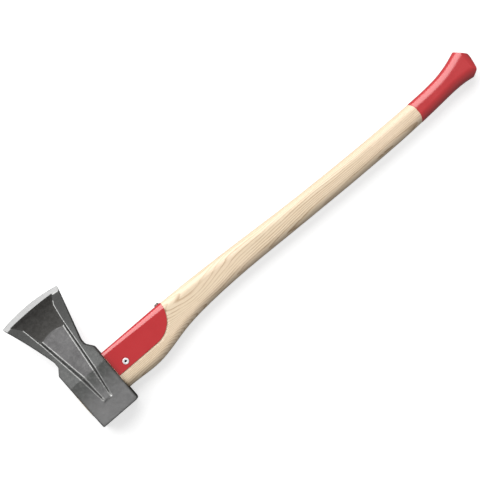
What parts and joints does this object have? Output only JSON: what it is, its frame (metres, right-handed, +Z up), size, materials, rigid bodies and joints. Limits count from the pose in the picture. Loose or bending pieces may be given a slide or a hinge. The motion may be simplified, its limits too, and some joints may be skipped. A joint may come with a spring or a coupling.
{
  "type": "splitting maul",
  "caption": "Long-handled splitting maul: forged steel head with flared blade, recessed cheeks and square poll on an oval ash haft with red steel guard and dipped red knob.",
  "frame": {"origin": "Bottom centre of the bounding box, with the maul lying on one cheek of its head.", "axes": "+X runs along the haft from the head to the knob, +Y from the poll to the cutting edge, +Z up through the thickness of the head."},
  "size_m": [0.8196, 0.2192, 0.05],
  "materials": {
    "forged_steel": "forged and blasted, darkened, with a bright ground bevel",
    "ash_wood": "sanded and oiled ash, grain along the haft",
    "red_powder_coat": "glossy red paint on sheet steel",
    "zinc_plate": "bright zinc plate",
    "beech_wedge": "sawn beech end grain",
    "bare_steel": "plain turned steel",
    "red_dip": "glossy red dipped lacquer"
  },
  "bodies": {
    "root": {"maul_head": "forged_steel", "haft": "ash_wood", "haft_guard": "red_powder_coat", "guard_rivet": "zinc_plate", "guard_screw": "zinc_plate", "eye_wedge": "beech_wedge", "ring_wedge": "bare_steel", "grip_coat": "red_dip"}
  },
  "joints": []
}
